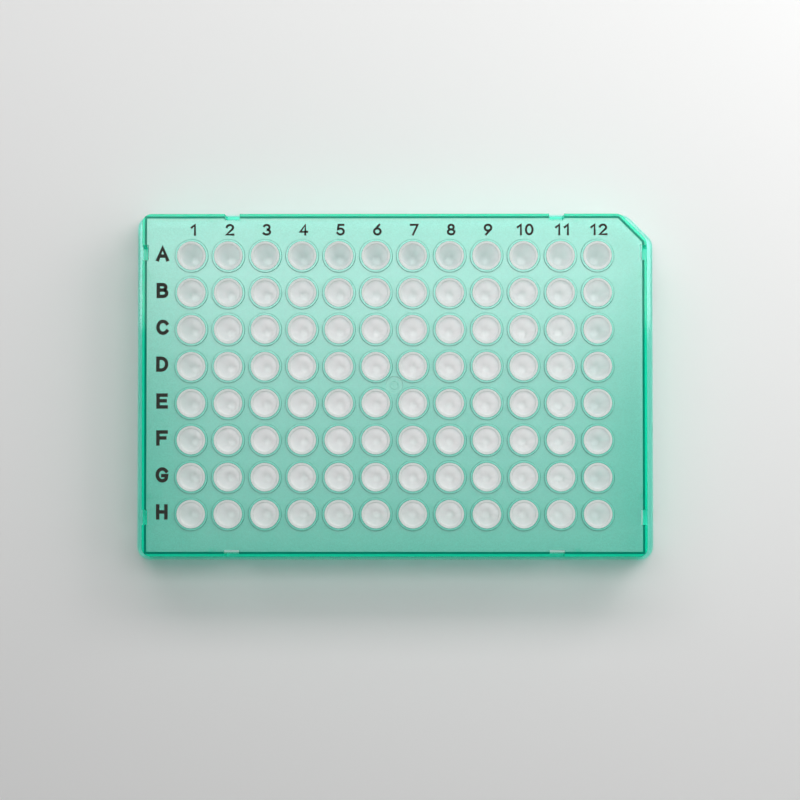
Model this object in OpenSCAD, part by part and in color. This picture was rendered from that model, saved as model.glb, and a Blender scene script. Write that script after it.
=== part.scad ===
// Full-skirted 96-well PCR plate, two-component build: a rigid clear frame
// (deck, skirt and foot flange) with a thin-walled well moulded into each deck hole.
// The plate stands on its foot flange, +Z up, with its columns spaced along +X and
// its rows along -Y. The origin is at the centre of the foot's bearing face.

/* [Foot] */
// Length of the foot flange, across the columns
foot_l = 127.76; // [126.5:0.02:130]
// Width of the foot flange, across the rows
foot_w = 85.48; // [84.6:0.02:88]
// Height of the foot flange
foot_h = 2.4; // [1.5:0.1:4]
// Corner radius of the foot flange
foot_r = 3.3; // [2.5:0.1:5]
// Chamfer along the foot flange's top edge
foot_chamfer = 0.4; // [0.1:0.1:0.6]

/* [Skirt] */
// Outside length of the skirt at the deck
skirt_l = 123.1; // [121.5:0.1:124]
// Outside width of the skirt at the deck
skirt_w = 83.6; // [82.5:0.1:84]
// How far each end wall flares out between deck and foot
flare_l = 1.1; // [0.3:0.1:1.6]
// How far each side wall flares out between deck and foot
flare_w = 0.35; // [0.1:0.05:0.4]
// Outside corner radius of the skirt
skirt_r = 2.2; // [1.8:0.1:3]
// Leg of the cut corner beside the last well of the first row
corner_cut = 6.5; // [4:0.1:8]
// Thickness of the skirt wall
wall = 1.15; // [0.9:0.05:1.4]

/* [Skirt notches and ribs] */
// Width of each notch in the skirt
notch_w = 3.6; // [2:0.1:6]
// Depth of each notch below the deck's top face
notch_h = 9.4; // [4:0.1:11]
// How far each notch reaches in from the skirt's outside
notch_reach = 1.55; // [1.2:0.05:2.2]
// Distance of the side wall notches from the plate's middle
side_notch_x = 39.6; // [30:0.1:46]
// Distance of the end wall notches from the plate's middle
end_notch_y = 32.3; // [29:0.1:33]
// Width of the stiffening ribs inside the skirt
rib_w = 0.9; // [0.6:0.1:1.5]
// How far the ribs stand in from the wall
rib_reach = 0.6; // [0.3:0.1:1]
// Distance of the side wall ribs from the plate's middle
side_rib_x = 44.7; // [42.5:0.1:50]
// Distance of the end wall ribs from the plate's middle
end_rib_y = 27.1; // [5:0.1:28.5]

/* [Deck] */
// Height of the deck's top face above the bearing face
deck_z = 15.2; // [14.4:0.1:18]
// Thickness of the deck
deck_t = 1.2; // [0.9:0.1:1.8]
// Distance between neighbouring wells, both ways
pitch = 9; // [8.9:0.02:9.04]
// Number of well columns
columns = 12; // [2:1:12]
// Number of well rows
rows = 8; // [2:1:8]
// Width of the collar ring around each hole
collar_wall = 0.8; // [0.5:0.05:1]
// Height of the collar above the deck
collar_h = 0.35; // [0.2:0.05:0.6]
// Diameter of the injection gate's dimple in the middle of the deck
gate_d = 4.1; // [3:0.1:4.2]
// Diameter of the gate's witness ring inside the dimple
gate_ring_d = 2.2; // [1.4:0.1:2.6]
// Depth of the gate's dimple
gate_depth = 0.3; // [0.1:0.05:0.5]

/* [Wells] */
// Diameter of the well's mouth below its lead-in
mouth_d = 5.6; // [5.4:0.05:5.8]
// Width of the lead-in around the mouth
lead_in = 0.15; // [0.05:0.05:0.2]
// Wall of the well where it is bonded in the deck
neck_wall = 0.45; // [0.35:0.05:0.55]
// How far the lip and the shoulder overhang the deck's hole
lip_overhang = 0.2; // [0.1:0.05:0.35]
// Height of the shoulder that locks the well under the deck
shoulder_h = 0.9; // [0.5:0.1:1.2]
// Height of the lip above the collar
lip_h = 0.5; // [0.3:0.05:0.8]
// Depth of the well's neck, from the lip down to the cone
neck_depth = 3.4; // [3.2:0.1:5]
// Narrowing of the neck's radius over its depth
neck_draft = 0.05; // [0:0.01:0.1]
// Inner depth of the well, from the lip to the tip
well_depth = 14.7; // [14:0.1:14.9]
// Inner radius of the rounded tip
tip_r = 1.2; // [1:0.05:1.5]
// Wall of the cone and the tip
cone_wall = 0.35; // [0.25:0.05:0.4]

/* [Hidden] */

$fn = 48;
slab = 0.01;
cut = 1;
hole_d = mouth_d + 2 * neck_wall;
collar_d = hole_d + 2 * collar_wall;
lip_d = hole_d + 2 * lip_overhang;
collar_z = deck_z + collar_h;
lip_z = collar_z + lip_h;
deck_under_z = deck_z - deck_t;
shoulder_z = deck_under_z - shoulder_h;
neck_z = lip_z - neck_depth;
tip_z = lip_z - well_depth + tip_r;
notch_z = deck_z - notch_h;

function column_x(i) = (i - (columns - 1) / 2) * pitch;
function row_y(j) = ((rows - 1) / 2 - j) * pitch;

// Arc centres of a plate outline with one cut corner: half sides a and b, radius r,
// and the cut's leg c, where the arcs meet the cut at 45 degrees
function outline(a, b, r, c) =
    let (t = r * tan(22.5))
    [[r - a, r - b], [a - r, r - b], [r - a, b - r],
     [a - c - t, b - r], [a - r, b - c - t]];

// The same outline moved in by d: the cut's leg shrinks as the corner closes up
function inset_cut(d) = corner_cut - d * (2 - sqrt(2));

// One thin slab of the outline, as loose discs for a hull
module outline_discs(z, a, b, r, c) {
    for (p = outline(a, b, r, c))
        translate([p.x, p.y, z])
            cylinder(r = r, h = slab, $fn = 32);
}

// A solid block with the skirt's flared sides, moved in by d and running from z0 to z1
module skirt_block(z0, z1, d) {
    function spread(z) = (deck_z - z) / deck_z;
    hull()
        for (z = [z0, z1 - slab])
            outline_discs(z, skirt_l / 2 - d + flare_l * spread(z),
                skirt_w / 2 - d + flare_w * spread(z), skirt_r - d, inset_cut(d));
}

// The foot flange as a solid plate with a chamfered top edge
module foot_block() {
    hull() {
        for (z = [0, foot_h - foot_chamfer])
            outline_discs(z, foot_l / 2, foot_w / 2, foot_r, corner_cut);
        outline_discs(foot_h - slab, foot_l / 2 - foot_chamfer,
            foot_w / 2 - foot_chamfer, foot_r - foot_chamfer, inset_cut(foot_chamfer));
    }
}

// Children placed at every well of the plate
module at_wells() {
    for (i = [0 : columns - 1], j = [0 : rows - 1])
        translate([column_x(i), row_y(j), 0])
            children();
}

// Ribs that stiffen the skirt, as bars long enough to reach into the wall
module skirt_ribs() {
    side_in = skirt_w / 2 - wall - rib_reach;
    end_in = skirt_l / 2 - wall - rib_reach;
    bar = rib_reach + flare_l + wall / 2;
    for (s = [-1, 1], t = [-1, 1]) {
        translate([s * side_rib_x - rib_w / 2, t > 0 ? side_in : -side_in - bar, foot_h])
            cube([rib_w, bar, deck_z - foot_h]);
        translate([s > 0 ? end_in : -end_in - bar, t * end_rib_y - rib_w / 2, foot_h])
            cube([bar, rib_w, deck_z - foot_h]);
    }
}

// The space under the deck, without the ribs that stand in it
module underside() {
    difference() {
        skirt_block(-cut, deck_under_z, wall);
        skirt_ribs();
    }
}

// Notches through the skirt wall, open to the top
module notches() {
    module notch(half, w)
        translate([half - notch_reach, -w / 2, notch_z])
            cube([notch_reach + flare_l + cut, w, notch_h + cut]);
    for (s = [-1, 1], t = [0, 180]) {
        rotate([0, 0, t])
            translate([0, s * end_notch_y, 0])
                notch(skirt_l / 2, notch_w);
        rotate([0, 0, 90 + t])
            translate([0, s * side_notch_x, 0])
                notch(skirt_w / 2, notch_w);
    }
}

// The dimple left by the injection gate, with its witness ring
module gate_mark() {
    ring_w = 0.3;
    difference() {
        translate([0, 0, deck_z - gate_depth])
            cylinder(d = gate_d, h = gate_depth + cut);
        translate([0, 0, deck_z - gate_depth])
            rotate_extrude()
                translate([gate_ring_d / 2 - ring_w, 0])
                    square([ring_w, gate_depth / 2]);
    }
}

// The clear frame: deck, collars, skirt and foot in one moulding
module frame() {
    color([0.35, 0.85, 0.72])
        difference() {
            union() {
                skirt_block(0, deck_z, 0);
                foot_block();
                at_wells()
                    cylinder(d = collar_d, h = collar_z);
            }
            underside();
            at_wells()
                translate([0, 0, -cut])
                    cylinder(d = hole_d, h = collar_z + 2 * cut);
            notches();
            gate_mark();
        }
}

// Angle at which a line from [r, h] touches a circle of radius t about the origin
function touch(r, h, t) = atan2(h, r) - acos(t / norm([r, h]));

// Cone and rounded tip, from the radius r at height h above the tip's centre
function cone_and_tip(r, h, t) =
    let (start = touch(r, h, t), steps = 5)
    [for (k = [0 : steps])
        let (a = start + (-90 - start) * k / steps)
        [t * cos(a), tip_z + t * sin(a)]];

// Section of a well, from its axis outwards
module well_section() {
    mouth_r = mouth_d / 2;
    neck_r = mouth_r - neck_draft;
    cone_h = neck_z - tip_z;
    outer_r = neck_r + cone_wall;
    inner = concat(
        [[mouth_r + lead_in, lip_z], [mouth_r, lip_z - lead_in], [neck_r, neck_z]],
        cone_and_tip(neck_r, cone_h, tip_r));
    outer = concat(
        [[lip_d / 2, lip_z], [lip_d / 2, collar_z], [hole_d / 2, collar_z],
         [hole_d / 2, deck_under_z], [lip_d / 2, deck_under_z],
         [lip_d / 2, shoulder_z], [outer_r, shoulder_z], [outer_r, neck_z]],
        cone_and_tip(outer_r, cone_h, tip_r + cone_wall));
    polygon(concat(inner, [for (k = [len(outer) - 1 : -1 : 0]) outer[k]]));
}

// One thin-walled conical well, bonded in its hole
module well() {
    rotate_extrude()
        well_section();
}

// The wells of one column, from the first row to the last
module wells_column(i) {
    color([0.93, 0.94, 0.94])
        for (j = [0 : rows - 1])
            translate([column_x(i), row_y(j), 0])
                well();
}

frame();
for (i = [0 : columns - 1])
    wells_column(i);
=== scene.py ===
"""Dresses the PCR plate: clear green frame, white wells, printed labels and a studio stage."""

import math

import bmesh
import bpy
from bpy.props import FloatProperty, FloatVectorProperty, PointerProperty
from mathutils import Matrix, Vector


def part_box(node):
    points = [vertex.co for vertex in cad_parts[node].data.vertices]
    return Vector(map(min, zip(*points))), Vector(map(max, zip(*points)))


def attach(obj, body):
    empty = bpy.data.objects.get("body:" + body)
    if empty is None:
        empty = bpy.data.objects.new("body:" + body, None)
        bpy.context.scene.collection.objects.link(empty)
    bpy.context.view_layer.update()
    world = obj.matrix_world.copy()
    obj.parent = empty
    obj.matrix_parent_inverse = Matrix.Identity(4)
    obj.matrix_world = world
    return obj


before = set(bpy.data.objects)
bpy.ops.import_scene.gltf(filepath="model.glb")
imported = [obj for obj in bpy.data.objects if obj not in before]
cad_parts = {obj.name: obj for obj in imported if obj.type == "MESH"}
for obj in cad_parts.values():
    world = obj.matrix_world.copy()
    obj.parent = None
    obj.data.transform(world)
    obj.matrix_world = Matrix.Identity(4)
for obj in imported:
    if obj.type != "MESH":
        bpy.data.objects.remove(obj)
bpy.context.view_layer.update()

bl_info = {
    "name": "PCR Plate Finish",
    "version": (1, 0, 0),
    "blender": (4, 5, 0),
    "location": "View3D > Sidebar > PCR Plate",
    "description": "Finishes the frame, wells and printed labels of a skirted PCR plate",
    "category": "Object",
}

MM = 0.001
WELL_NODES = sorted(
    (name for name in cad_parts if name.startswith("wells_column_")),
    key=lambda name: int(name.rsplit("_", 1)[1]),
)
WELLS_LOW, WELLS_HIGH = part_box(WELL_NODES[0])
LAST_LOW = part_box(WELL_NODES[-1])[0]
COLLAR_HEIGHT = 0.35 * MM
DECK_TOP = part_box("frame")[1].z - COLLAR_HEIGHT
# How far below its top face the deck keeps its satin grain, so that the gate's dimple has it too
SATIN_DEPTH = 0.32 * MM
FOOT_TOP = 2.4 * MM
# Radius of the painted shade line round each collar
COLLAR_REACH = 4.03 * MM
# From the plate's middle to the skirt's inner face, along X and Y
DECK_REACH = Vector((60.4, 40.65)) * MM
# X plus Y along the inner face of the cut corner
CUT_LINE = 95.2 * MM
# Points this near to the deck's top face count as lying on it
LEVEL_TOLERANCE = 0.02 * MM
LIP_TOP = WELLS_HIGH.z
LIP_DIAMETER = WELLS_HIGH.x - WELLS_LOW.x
COLUMNS = len(WELL_NODES)
PITCH = (LAST_LOW.x - WELLS_LOW.x) / (COLUMNS - 1)
ROWS = round((WELLS_HIGH.y - WELLS_LOW.y - LIP_DIAMETER) / PITCH) + 1
ROOT = "root"

POLYCARBONATE_IOR = 1.58
SATIN_IOR = 1.7
BUMP_HEIGHT = 0.02 * MM
WHITE = (1.0, 1.0, 1.0, 1.0)

WELD_REACH = 0.001 * MM
FLAT_ANGLE = math.radians(0.5)
SHARP_ANGLE = math.radians(35)

# Space between two characters and rise of each further stroke, in pens and in ink thicknesses
CHARACTER_SPACE = 2.3
STROKE_RISE = 0.1
# A path whose ends are nearer than this share of the pen is a closed one
CLOSED_SHARE = 0.02
# The least cosine that a mitred corner is widened by
MITRE_LIMIT = 0.6

FLOOR_HALF = 3.0
SENSOR_WIDTH = 36.0
# Each softbox's name, place, sides and turn, where None turns it to the plate, and its power's setting
SOFTBOXES = (
    ("top_softbox", (0.05, 0.225, 0.95), (0.9, 0.3), (0, 0, 0), "top_light"),
    ("back_softbox", (0.0, 0.36, 0.34), (0.7, 0.15), None, "back_light"),
    ("right_softbox", (0.4, 0.0, 0.35), (0.25, 0.4), None, "right_light"),
    (
        "corner_softbox",
        (0.26, 0.2, 0.22),
        (0.2, 0.2),
        (math.radians(-25), math.radians(35), 0),
        "corner_light",
    ),
)


def column_x(index):
    """Centre of a column of wells, counted from 0."""
    return (WELLS_LOW.x + WELLS_HIGH.x) / 2 + index * PITCH


def row_y(index):
    """Centre of a row of wells, counted from 0 at row A."""
    return WELLS_HIGH.y - LIP_DIAMETER / 2 - index * PITCH


# ---------------------------------------------------------------- settings


def colour_property(name, description, default):
    """A colour that a user can change."""
    return FloatVectorProperty(
        name=name, description=description, subtype="COLOR", size=3, min=0, max=1, default=default
    )


def length_property(name, description, default, low=0.0, high=1.0):
    """A length in metres that a user can change."""
    return FloatProperty(
        name=name,
        description=description,
        subtype="DISTANCE",
        unit="LENGTH",
        min=low,
        max=high,
        default=default,
        precision=5,
    )


def share_property(name, description, default):
    """A share between 0 and 1 that a user can change."""
    return FloatProperty(
        name=name, description=description, subtype="FACTOR", min=0, max=1, default=default
    )


def power_property(name, description, default):
    """A lamp's power in watts that a user can change."""
    return FloatProperty(
        name=name, description=description, subtype="POWER", unit="POWER", min=0, default=default
    )


class PlateFrameSettings(bpy.types.PropertyGroup):
    """Finish of the clear green frame."""

    tint: colour_property(
        "Tint", "Colour that light keeps inside the plastic", (0.033, 0.981, 0.868)
    )
    depth: FloatProperty(
        name="Tint depth",
        description="How strongly each metre of plastic takes up the other colours",
        min=0,
        max=2000,
        default=285,
    )
    satin: colour_property(
        "Satin", "Colour of the deck's fine satin grain", (0.06, 0.635, 0.46)
    )
    satin_share: share_property(
        "Satin share", "How much of the deck's surface scatters light", 0.6
    )
    # Painted shade: a dark line drawn along the deck's edge where it meets the skirt, standing in for
    # the dark edge that refraction shows there; its colour also paints the lines round the wells
    shade_line_colour: colour_property(
        "Rim colour", "Colour of the fine line where the deck meets the skirt", (0.0, 0.17, 0.125)
    )
    rim_shade_width: length_property("Rim line", "Width of that line", 0.55 * MM)
    rim_shade_share: share_property("Rim share", "How strongly that line shows", 0.8)
    wall_colour: colour_property("Wall colour", "Body colour of the skirt", (0.0, 0.88, 0.56))
    wall_share: share_property("Wall share", "How much of the skirt's look is body colour", 0.42)
    # Painted shade: fine dark lines round each collar and lip, standing in for the dark edges that
    # refraction shows there
    ring_shade_width: length_property("Ring line", "Width of the fine lines round the wells", 0.13 * MM)
    ring_shade_share: share_property("Ring share", "How strongly those lines show", 0.55)
    skirt_pass: share_property(
        "Skirt light", "Share of a lamp's light that goes straight through the skirt", 0.68
    )
    grain: length_property("Grain", "Size of the deck's satin grain", 0.3 * MM)
    edge: length_property("Edge", "Radius of the moulded edges", 0.12 * MM)


class PlateWellSettings(bpy.types.PropertyGroup):
    """Finish of the moulded wells."""

    colour: colour_property("Colour", "Colour of the well plastic", (0.99, 0.975, 0.98))
    # Painted shade: the lip is a darker grey than the well plastic, toning down its brightly lit top
    # face
    lip: colour_property("Lip", "Colour of the thicker lip", (0.76, 0.79, 0.78))
    # Painted shade: the tip is a shade darker than the well plastic, toning down the lit spot at the
    # bottom of each well
    tip_shade: colour_property("Tip", "Colour of the thicker tip", (0.985, 0.97, 0.97))
    lamp_pass: colour_property(
        "Light passed", "Share of a lamp's light that the thin wall lets through", (0.97,) * 3
    )
    glow: colour_property(
        "Glow", "Colour of the light that comes through the wall", (0.99, 0.922, 0.932)
    )
    glow_share: share_property("Glow share", "How much of the look is light from behind", 0.4)
    haze: length_property("Haze", "Size of the plastic's faint unevenness", 0.8 * MM)


class PlatePrintSettings(bpy.types.PropertyGroup):
    """The printed row letters and column numbers."""

    ink: colour_property("Ink", "Colour of the print", (0.018, 0.021, 0.016))
    number_height: length_property("Number height", "Height of the column numbers", 2.9 * MM)
    letter_height: length_property("Letter height", "Height of the row letters", 3.75 * MM)
    number_pen: length_property("Number pen", "Stroke of the column numbers", 0.54 * MM)
    letter_pen: length_property("Letter pen", "Stroke of the row letters", 0.86 * MM)
    width: FloatProperty(
        name="Width", description="Width of the characters beside plain ones", min=0.5, default=1.12
    )
    number_gap: length_property("Number gap", "From row A's centres to the numbers", 6.4 * MM)
    number_shift: length_property("Number shift", "From a column's centre, across", 0.35 * MM)
    letter_gap: length_property("Letter gap", "From column 1's centres to the letters", 7.1 * MM)
    letter_shift: length_property("Letter shift", "From a row's centre, up", 0.55 * MM)
    thickness: length_property("Ink thickness", "Height of the ink on the deck", 0.02 * MM)
    mottle: length_property("Mottle", "Size of the ink's uneven patches", 0.35 * MM)


class PlateStageSettings(bpy.types.PropertyGroup):
    """Floor, lights and camera."""

    floor: colour_property("Floor", "Colour of the floor", (0.78, 0.78, 0.775))
    floor_gap: length_property("Floor gap", "Air between the foot and the floor", 0.1 * MM)
    room_light: FloatProperty(
        name="Room light", description="Strength of the light from all round", min=0, default=0.17
    )
    top_light: power_property("Top light", "Power of the softbox overhead", 2.95)
    back_light: power_property("Back light", "Power of the low softbox behind", 1.2)
    right_light: power_property("Right light", "Power of the softbox on the right", 0.34)
    corner_light: power_property("Corner light", "Power of the softbox at the far corner", 0.43)
    distance: length_property("Camera distance", "From the lips to the camera", 0.70, high=5.0)
    lens: FloatProperty(name="Lens", description="Focal length in millimetres", default=129.5)
    tilt: FloatProperty(
        name="Tilt",
        description="Lean of the view away from straight down",
        subtype="ANGLE",
        default=math.radians(2.17),
    )
    turn: FloatProperty(
        name="Turn",
        description="Lean of the view to the right",
        subtype="ANGLE",
        default=math.radians(0.6),
    )
    aim_x: length_property("Aim X", "Middle of the picture, across", 1.39 * MM, low=-1.0)
    aim_y: length_property("Aim Y", "Middle of the picture, up", -3.75 * MM, low=-1.0)


# ---------------------------------------------------------------- shader maths


class Wire:
    """A shader socket that takes part in sums."""

    def __init__(self, tree, socket):
        self.tree = tree
        self.socket = socket

    def maths(self, operation, *values):
        """The result of one Math node."""
        return self.tree.node("ShaderNodeMath", {"operation": operation}, values)

    def __add__(self, other):
        return self.maths("ADD", self, other)

    __radd__ = __add__

    def __sub__(self, other):
        return self.maths("SUBTRACT", self, other)

    def __rsub__(self, other):
        return self.maths("SUBTRACT", other, self)

    def __mul__(self, other):
        return self.maths("MULTIPLY", self, other)

    __rmul__ = __mul__

    def __gt__(self, other):
        return self.maths("GREATER_THAN", self, other)

    def __lt__(self, other):
        return self.maths("LESS_THAN", self, other)

    def size(self):
        """The value without its sign."""
        return self.maths("ABSOLUTE", self)

    def most(self, other):
        """The larger of two values."""
        return self.maths("MAXIMUM", self, other)

    def part(self):
        """What is left of the value above a whole number."""
        return self.maths("FRACT", self)

    def root(self):
        """The square root."""
        return self.maths("SQRT", self)


SOCKETS = {
    "base_color": "Base Color",
    "roughness": "Roughness",
    "ior": "IOR",
    "specular": "Specular IOR Level",
    "transmission": "Transmission Weight",
    "normal": "Normal",
}


def opaque(colour):
    """A colour with full alpha."""
    return (*colour, 1.0)


def scaled(colour, factor):
    """A colour made darker or lighter."""
    return tuple(factor * value for value in colour)


class Recipe:
    """A material's node tree, built from nothing."""

    def __init__(self, name):
        self.material = bpy.data.materials.new(name)
        self.material.use_nodes = True
        self.nodes = self.material.node_tree.nodes
        self.links = self.material.node_tree.links
        self.nodes.clear()

    def node(self, kind, settings=None, values=(), output=0):
        """A node of a type, with its settings made first and then its sockets' values or links."""
        made = self.nodes.new(kind)
        for key, value in (settings or {}).items():
            if key == "stops":
                set_stops(made.color_ramp, value)
            else:
                setattr(made, key, value)
        pairs = values.items() if isinstance(values, dict) else enumerate(values)
        for key, value in pairs:
            if isinstance(value, Wire):
                self.links.new(value.socket, made.inputs[key])
            else:
                made.inputs[key].default_value = value
        return Wire(self, made.outputs[output])

    def place(self):
        """The point being shaded, in metres."""
        return self.node("ShaderNodeTexCoord", output="Object")

    def split(self, vector):
        """The X, Y and Z of a vector."""
        first = self.node("ShaderNodeSeparateXYZ", {}, [vector])
        return [Wire(self, first.socket.node.outputs[axis]) for axis in "XYZ"]

    def noise(self, point, size, detail):
        """Cloudy noise with patches of about a size."""
        sockets = {"Vector": point, "Scale": 1 / size, "Detail": detail}
        return self.node("ShaderNodeTexNoise", {}, sockets)

    def bump(self, height, strength):
        """A surface made slightly uneven by a height."""
        sockets = {"Height": height, "Strength": strength, "Distance": BUMP_HEIGHT}
        return self.node("ShaderNodeBump", {}, sockets)

    def principled(self, **sockets):
        """A Principled shader, with its sockets called by the short names in SOCKETS."""
        named = {SOCKETS[key]: value for key, value in sockets.items()}
        return self.node("ShaderNodeBsdfPrincipled", {}, named)

    def layer(self, share, under, over):
        """One shader over another, which shows by a share."""
        return self.node("ShaderNodeMixShader", {}, {0: share, 1: under, 2: over})

    def blend(self, share, first, second):
        """A colour between two, whose sockets are the Mix node's seventh and eighth."""
        sockets = {0: share, 6: opaque(first), 7: opaque(second)}
        return self.node("ShaderNodeMix", {"data_type": "RGBA"}, sockets, output=2)

    def lamp_ray(self):
        """1 on the rays that look for a lamp, and 0 on all others."""
        return self.node("ShaderNodeLightPath", output="Is Shadow Ray")

    def finish(self, surface, volume=None):
        """Joins the surface and the volume to the output and gives the material."""
        out = self.nodes.new("ShaderNodeOutputMaterial")
        self.links.new(surface.socket, out.inputs["Surface"])
        if volume:
            self.links.new(volume.socket, out.inputs["Volume"])
        return self.material


def set_stops(ramp, stops):
    """Gives a colour ramp its stops, as (place, colour) pairs."""
    while len(ramp.elements) < len(stops):
        ramp.elements.new(1.0)
    for element, (place, colour) in zip(ramp.elements, stops):
        element.position = place
        element.color = opaque(colour)


def deck_inset(x, y):
    """How far a point lies outside the deck's inner outline, which has one cut corner."""
    ends = x.size() - DECK_REACH.x
    sides = y.size() - DECK_REACH.y
    corner = (x + y - CUT_LINE) * math.sqrt(0.5)
    return ends.most(sides).most(corner)


def well_ring_shade(x, y, width):
    """1 on the painted shade lines round each collar and each lip, dark lines standing in for the
    edges' refraction, and 0 elsewhere.
    """
    across = ((x * (1 / PITCH)).part() - 0.5) * PITCH
    along = ((y * (1 / PITCH)).part() - 0.5) * PITCH
    reach = (across * across + along * along).root()
    lip = LIP_DIAMETER / 2
    in_grid = (x.size() < PITCH * COLUMNS / 2) * (y.size() < PITCH * ROWS / 2)
    collar_shade_ring = (reach - COLLAR_REACH).size() < width / 2
    lip_shade_ring = (reach > lip) * (reach < lip + width)
    return collar_shade_ring.most(lip_shade_ring) * in_grid


def green_polycarbonate(look):
    """Clear green plastic, polished on the skirt and with a fine satin grain on the deck."""
    polished, deck_haze, grain_depth, dark_grain = 0.05, 0.13, 0.05, 0.86
    recipe = Recipe("green_polycarbonate")
    point = recipe.place()
    x, y, z = recipe.split(point)
    inset = deck_inset(x, y)
    above = z > DECK_TOP - LEVEL_TOLERANCE
    on_deck = (inset < 0.0) * (z > DECK_TOP - SATIN_DEPTH)
    # Where the painted shade line along the rim goes
    rim = (inset > 0.0) * (inset < look.rim_shade_width) * above * (z < DECK_TOP + LEVEL_TOLERANCE)
    # Where the painted shade lines round the collars and lips go
    ring_shade = well_ring_shade(x, y, look.ring_shade_width) * above
    wall = (inset > look.rim_shade_width) * (z > FOOT_TOP)
    clear = recipe.principled(
        base_color=WHITE,
        roughness=on_deck * deck_haze + polished,
        ior=POLYCARBONATE_IOR,
        specular=0.15,
        transmission=1.0,
    )
    lamp_pass = recipe.node("ShaderNodeBsdfTransparent", {}, {"Color": WHITE})
    passing = recipe.lamp_ray() * (1.0 - (inset > 0.0) * (1.0 - look.skirt_pass))
    lit_clear = recipe.layer(passing, clear, lamp_pass)
    grain = recipe.noise(point, look.grain, 2.0)
    speckle = recipe.node(
        "ShaderNodeValToRGB",
        {"stops": [(0.3, scaled(look.satin, dark_grain)), (0.7, look.satin)]},
        [grain],
    )
    satin = recipe.principled(
        base_color=speckle,
        roughness=0.2,
        ior=SATIN_IOR,
        specular=1.0,
        normal=recipe.bump(grain, grain_depth),
    )
    # A matt layer of painted shade as dark lines on the rim and round the wells, which also gives the
    # skirt some body colour
    shade_lines_and_wall_body = recipe.principled(
        base_color=recipe.blend(wall, look.shade_line_colour, look.wall_colour),
        roughness=0.5,
        specular=0.0,
    )
    moulded = recipe.layer(on_deck * look.satin_share, lit_clear, satin)
    shade_lines_and_wall_share = (rim * look.rim_shade_share).most(ring_shade * look.ring_shade_share).most(wall * look.wall_share)
    surface = recipe.layer(shade_lines_and_wall_share, moulded, shade_lines_and_wall_body)
    inside = recipe.node(
        "ShaderNodeVolumeAbsorption", {}, {"Color": opaque(look.tint), "Density": look.depth}
    )
    return recipe.finish(surface, inside)


def white_polypropylene(look):
    """White thin-walled plastic that passes some light."""
    tip_end, cone_start, cone_end, lip_start = 0.2, 0.26, 0.95, 0.965
    smooth, haze_roughness, haze_depth = 0.28, 0.15, 0.06
    recipe = Recipe("white_polypropylene")
    point = recipe.place()
    height = recipe.split(point)[2] * (1 / LIP_TOP)
    haze = recipe.noise(point, look.haze, 3.0)
    stops = [
        # Painted shade: the tip band is a little darker to tone down its lit spot
        (0.0, look.tip_shade),
        (tip_end, look.tip_shade),
        (cone_start, look.colour),
        (cone_end, look.colour),
        # Painted shade: the lip band is darker to tone down its lit top face
        (lip_start, look.lip),
        (1.0, look.lip),
    ]
    skin = recipe.principled(
        base_color=recipe.node("ShaderNodeValToRGB", {"stops": stops}, [height]),
        roughness=haze * haze_roughness + smooth,
        normal=recipe.bump(haze, haze_depth),
    )
    glow = recipe.node("ShaderNodeBsdfTranslucent", {}, {"Color": opaque(look.glow)})
    wall = recipe.layer(look.glow_share, skin, glow)
    lamp_pass = recipe.node("ShaderNodeBsdfTransparent", {}, {"Color": opaque(look.lamp_pass)})
    return recipe.finish(recipe.layer(recipe.lamp_ray(), wall, lamp_pass))


def print_ink(look):
    """Dark screen-printed ink, slightly uneven."""
    smooth, uneven, pale_ink = 0.5, 0.2, 1.7
    recipe = Recipe("print_ink")
    mottle = recipe.noise(recipe.place(), look.mottle, 4.0)
    stops = [(0.3, look.ink), (0.75, scaled(look.ink, pale_ink))]
    surface = recipe.principled(
        base_color=recipe.node("ShaderNodeValToRGB", {"stops": stops}, [mottle]),
        roughness=mottle * uneven + smooth,
        specular=0.2,
    )
    return recipe.finish(surface)


def studio_floor(look):
    """Pale matt floor."""
    recipe = Recipe("studio_floor")
    return recipe.finish(recipe.principled(base_color=opaque(look.floor), roughness=0.6))


# ---------------------------------------------------------------- mesh helpers


def dress(node, material):
    """Puts one material on a CAD node's object."""
    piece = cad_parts[node]
    while len(piece.material_slots) > 1:
        piece.data.materials.pop()
    if not piece.material_slots:
        piece.data.materials.append(material)
    piece.material_slots[0].link = "OBJECT"
    piece.material_slots[0].material = material
    return piece


def soften_edges(piece, radius):
    """Rounds a piece's sharp edges with a narrow bevel."""
    weld = piece.modifiers.new("weld", "WELD")
    weld.merge_threshold = WELD_REACH
    flat = piece.modifiers.new("flatten", "DECIMATE")
    flat.decimate_type = "DISSOLVE"
    flat.angle_limit = FLAT_ANGLE
    bevel = piece.modifiers.new("bevel", "BEVEL")
    bevel.width = radius
    bevel.segments = 2
    bevel.limit_method = "ANGLE"
    bevel.angle_limit = SHARP_ANGLE
    bevel.harden_normals = True


def arc(centre, radii, start, end, steps=20):
    """Points along part of an ellipse, with its angles in degrees."""
    turns = [math.radians(start + (end - start) * i / steps) for i in range(steps + 1)]
    return [(centre[0] + radii[0] * math.cos(t), centre[1] + radii[1] * math.sin(t)) for t in turns]


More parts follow.
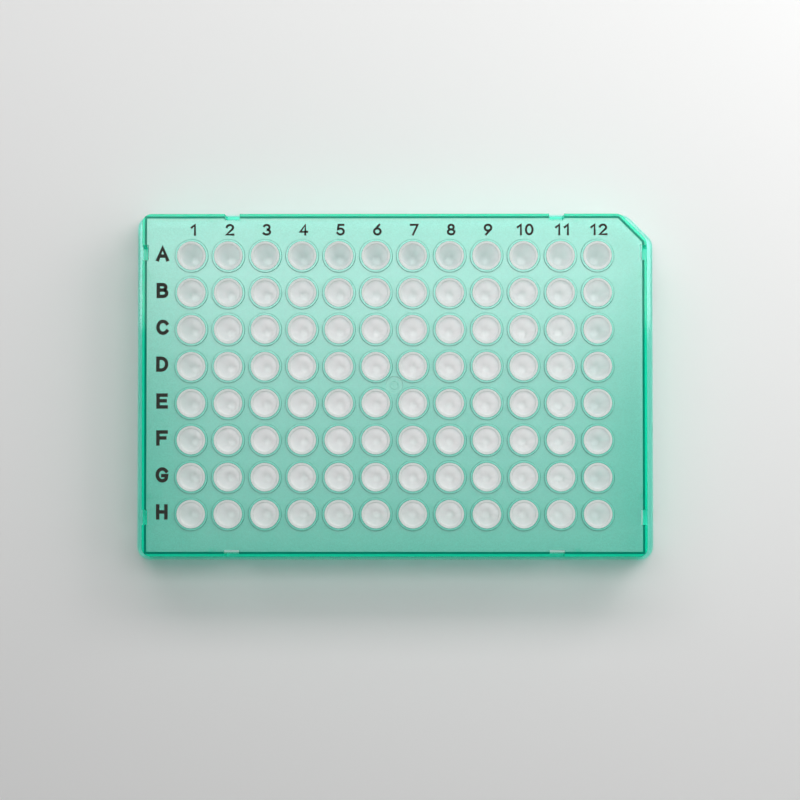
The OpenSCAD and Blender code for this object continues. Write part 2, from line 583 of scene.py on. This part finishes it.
def glyphs():
    """Pen strokes of the plain capitals and figures, each 1 high, in the pen's own path."""
    six = [
        arc((0.3, 0.31), (0.3, 0.31), 143, -217),
        [(0.47, 1), (0.24, 0.7), (0.06, 0.5)],
    ]
    return {
        "0": [arc((0.3, 0.5), (0.3, 0.5), 90, -270, 32)],
        "1": [[(0.04, 0.74), (0.33, 1), (0.33, 0)]],
        "2": [[*arc((0.3, 0.72), (0.29, 0.28), 165, -32), (0, 0), (0.62, 0)]],
        "3": [
            arc((0.29, 0.75), (0.26, 0.25), 150, -90) + arc((0.29, 0.25), (0.31, 0.25), 90, -150)
        ],
        "4": [[(0.47, 0), (0.47, 1), (0, 0.28), (0.64, 0.28)]],
        "5": [[(0.56, 1), (0.13, 1), (0.07, 0.55), *arc((0.29, 0.31), (0.31, 0.31), 125, -150)]],
        "6": six,
        "7": [[(0, 1), (0.62, 1), (0.2, 0)]],
        "8": [
            arc((0.3, 0.76), (0.24, 0.24), 90, -270, 28),
            arc((0.3, 0.26), (0.3, 0.26), 90, -270, 28),
        ],
        "9": [[(0.6 - x, 1 - y) for x, y in stroke] for stroke in six],
        "A": [[(0, 0), (0.36, 1), (0.72, 0)], [(0.17, 0.3), (0.55, 0.3)]],
        "B": [
            [
                *[(0, 0.5), (0, 1), *arc((0.32, 0.77), (0.25, 0.23), 90, -80, 14)],
                *[*arc((0.36, 0.27), (0.28, 0.27), 80, -90, 14), (0, 0), (0, 0.5)],
            ],
            [(0, 0.54), (0.3, 0.54)],
        ],
        "C": [arc((0.38, 0.5), (0.38, 0.5), 40, 320, 28)],
        "D": [[(0, 0.5), (0, 1), *arc((0.24, 0.5), (0.42, 0.5), 90, -90, 20), (0, 0), (0, 0.5)]],
        "E": [[(0.6, 1), (0, 1), (0, 0), (0.62, 0)], [(0, 0.52), (0.54, 0.52)]],
        "F": [[(0.62, 1), (0, 1), (0, 0)], [(0, 0.5), (0.52, 0.5)]],
        "G": [[*arc((0.38, 0.5), (0.38, 0.5), 40, 318, 28), (0.7, 0.44), (0.42, 0.44)]],
        "H": [[(0, 0), (0, 1)], [(0.62, 0), (0.62, 1)], [(0, 0.5), (0.62, 0.5)]],
    }


def pen_line(mesh, path, pen, thickness, level):
    """Adds one flat stroke of a pen's width to a mesh, with mitred corners."""
    points = [Vector((x, y, level)) for x, y in path]
    closed = (points[0] - points[-1]).length < pen * CLOSED_SHARE
    if closed:
        points.pop()
    else:
        for end, inner in ((0, 1), (-1, -2)):
            points[end] += (points[end] - points[inner]).normalized() * pen / 2
    count = len(points)
    rims = []
    for i, point in enumerate(points):
        before = points[i - 1] if closed or i else None
        after = points[(i + 1) % count] if closed or i + 1 < count else None
        into = (point - before).normalized() if before else (after - point).normalized()
        out = (after - point).normalized() if after else into
        side = Vector((-(into + out).y, (into + out).x, 0)).normalized()
        reach = pen / 2 / max(MITRE_LIMIT, side.dot(Vector((-into.y, into.x, 0))))
        rise = Vector((0, 0, thickness))
        corners = (point - side * reach, point + side * reach)
        rims.append([mesh.verts.new(c + up) for up in (Vector(), rise) for c in corners])
    for i in range(count if closed else count - 1):
        a, b = rims[i], rims[(i + 1) % count]
        for low, high in ((0, 1), (1, 3), (3, 2), (2, 0)):
            mesh.faces.new((a[low], a[high], b[high], b[low]))
    if not closed:
        for rim in (rims[0], rims[-1]):
            mesh.faces.new((rim[0], rim[1], rim[3], rim[2]))


def write(mesh, text, height, pen, width, centre, thickness):
    """Writes a word of pen strokes on the deck, centred on a point."""
    tall = height - pen
    shapes = glyphs()
    wide = tall * width
    widths = [max(x for stroke in shapes[c] for x, y in stroke) * wide for c in text]
    gap = pen * CHARACTER_SPACE
    x = centre.x - (sum(widths) + gap * (len(text) - 1)) / 2
    for character, step in zip(text, widths):
        for layer, stroke in enumerate(shapes[character]):
            path = [(x + u * wide, centre.y + (v - 0.5) * tall) for u, v in stroke]
            pen_line(mesh, path, pen, thickness * (1 + STROKE_RISE * layer), centre.z)
        x += step + gap


def printed(name, words, height, pen, look, material):
    """Makes one piece of print from (text, centre) pairs."""
    draft = bmesh.new()
    for text, centre in words:
        write(draft, text, height, pen, look.width, centre, look.thickness)
    bmesh.ops.recalc_face_normals(draft, faces=draft.faces)
    mesh = bpy.data.meshes.new(name)
    draft.to_mesh(mesh)
    draft.free()
    mesh.materials.append(material)
    piece = bpy.data.objects.new(name, mesh)
    bpy.context.scene.collection.objects.link(piece)
    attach(piece, ROOT)


# ---------------------------------------------------------------- operators


class PLATE_OT_finish_frame(bpy.types.Operator):
    """Gives the frame its clear green plastic and soft edges"""

    bl_idname = "plate.finish_frame"
    bl_label = "Finish frame"

    def execute(self, context):
        look = context.scene.plate_frame
        piece = dress("frame", green_polycarbonate(look))
        soften_edges(piece, look.edge)
        return {"FINISHED"}


class PLATE_OT_finish_wells(bpy.types.Operator):
    """Gives the wells their white plastic"""

    bl_idname = "plate.finish_wells"
    bl_label = "Finish wells"

    def execute(self, context):
        look = context.scene.plate_wells
        material = white_polypropylene(look)
        for node in WELL_NODES:
            dress(node, material)
        return {"FINISHED"}


class PLATE_OT_print_labels(bpy.types.Operator):
    """Prints the row letters and column numbers on the deck"""

    bl_idname = "plate.print_labels"
    bl_label = "Print labels"

    def execute(self, context):
        look = context.scene.plate_print
        material = print_ink(look)
        y = row_y(0) + look.number_gap
        numbers = [
            (str(i + 1), Vector((column_x(i) + look.number_shift, y, DECK_TOP)))
            for i in range(COLUMNS)
        ]
        printed("column_numbers", numbers, look.number_height, look.number_pen, look, material)
        x = column_x(0) - look.letter_gap
        letters = [
            (chr(ord("A") + i), Vector((x, row_y(i) + look.letter_shift, DECK_TOP)))
            for i in range(ROWS)
        ]
        printed("row_letters", letters, look.letter_height, look.letter_pen, look, material)
        return {"FINISHED"}


class PLATE_OT_build_stage(bpy.types.Operator):
    """Lays the floor, hangs the lights and sets the camera"""

    bl_idname = "plate.build_stage"
    bl_label = "Build stage"

    def execute(self, context):
        look = context.scene.plate_stage
        self.lay_floor(context.scene, look)
        self.light_room(context.scene, look)
        for name, place, sides, turn, power in SOFTBOXES:
            self.hang_lamp(context.scene, name, place, sides, turn, getattr(look, power))
        self.set_camera(context.scene, look)
        return {"FINISHED"}

    def lay_floor(self, scene, look):
        """A wide square just under the plate's foot."""
        near, far = -FLOOR_HALF, FLOOR_HALF
        z = -look.floor_gap
        corners = [(near, near, z), (far, near, z), (far, far, z), (near, far, z)]
        mesh = bpy.data.meshes.new("floor")
        mesh.from_pydata(corners, [], [(0, 1, 2, 3)])
        mesh.materials.append(studio_floor(look))
        floor = bpy.data.objects.new("floor", mesh)
        scene.collection.objects.link(floor)

    def light_room(self, scene, look):
        """Even light from all round."""
        world = bpy.data.worlds.new("studio_world")
        world.use_nodes = True
        background = world.node_tree.nodes["Background"]
        background.inputs["Color"].default_value = WHITE
        background.inputs["Strength"].default_value = look.room_light
        scene.world = world

    def hang_lamp(self, scene, name, place, sides, turn, power):
        """An area lamp at a place, turned as told or towards the plate."""
        light = bpy.data.lights.new(name, "AREA")
        light.shape = "RECTANGLE"
        light.size, light.size_y = sides
        light.energy = power
        lamp = bpy.data.objects.new(name, light)
        lamp.location = place
        lamp.rotation_euler = turn or (-Vector(place)).to_track_quat("-Z", "Y").to_euler()
        scene.collection.objects.link(lamp)

    def set_camera(self, scene, look):
        """The camera above the plate, leaning a little, with +Y up in the picture."""
        back = Vector((math.sin(look.turn), -math.sin(look.tilt), 0.0))
        back.z = math.sqrt(1 - back.length_squared)
        across = Vector((0, 1, 0)).cross(back).normalized()
        axes = Matrix((across, back.cross(across), back)).transposed()
        aim = Vector((look.aim_x, look.aim_y, LIP_TOP))
        data = bpy.data.cameras.new("camera")
        data.lens = look.lens
        data.sensor_width = SENSOR_WIDTH
        camera = bpy.data.objects.new("camera", data)
        camera.matrix_world = Matrix.Translation(aim + back * look.distance) @ axes.to_4x4()
        scene.collection.objects.link(camera)
        scene.camera = camera
        scene.view_settings.view_transform = "Standard"


class PLATE_PT_panel(bpy.types.Panel):
    """The plate's finishing steps and settings"""

    bl_idname = "PLATE_PT_panel"
    bl_label = "PCR Plate"
    bl_space_type = "VIEW_3D"
    bl_region_type = "UI"
    bl_category = "PCR Plate"

    def draw(self, context):
        for operator, group in STEPS:
            box = self.layout.box()
            settings = getattr(context.scene, group)
            for key in settings.bl_rna.properties.keys():
                if key not in {"rna_type", "name"}:
                    box.prop(settings, key)
            box.operator(operator)


STEPS = (
    ("plate.finish_frame", "plate_frame"),
    ("plate.finish_wells", "plate_wells"),
    ("plate.print_labels", "plate_print"),
    ("plate.build_stage", "plate_stage"),
)
GROUPS = {
    "plate_frame": PlateFrameSettings,
    "plate_wells": PlateWellSettings,
    "plate_print": PlatePrintSettings,
    "plate_stage": PlateStageSettings,
}
CLASSES = (
    *GROUPS.values(),
    PLATE_OT_finish_frame,
    PLATE_OT_finish_wells,
    PLATE_OT_print_labels,
    PLATE_OT_build_stage,
    PLATE_PT_panel,
)


def register():
    """Adds the classes and gives every scene their settings."""
    for cls in CLASSES:
        bpy.utils.register_class(cls)
    for name, group in GROUPS.items():
        setattr(bpy.types.Scene, name, PointerProperty(type=group))


def unregister():
    """Takes the settings and the classes away again."""
    for name in GROUPS:
        delattr(bpy.types.Scene, name)
    for cls in reversed(CLASSES):
        bpy.utils.unregister_class(cls)


def main():
    """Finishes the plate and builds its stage."""
    register()
    bpy.ops.plate.finish_frame()
    bpy.ops.plate.finish_wells()
    bpy.ops.plate.print_labels()
    bpy.ops.plate.build_stage()


if __name__ == "__main__":
    main()
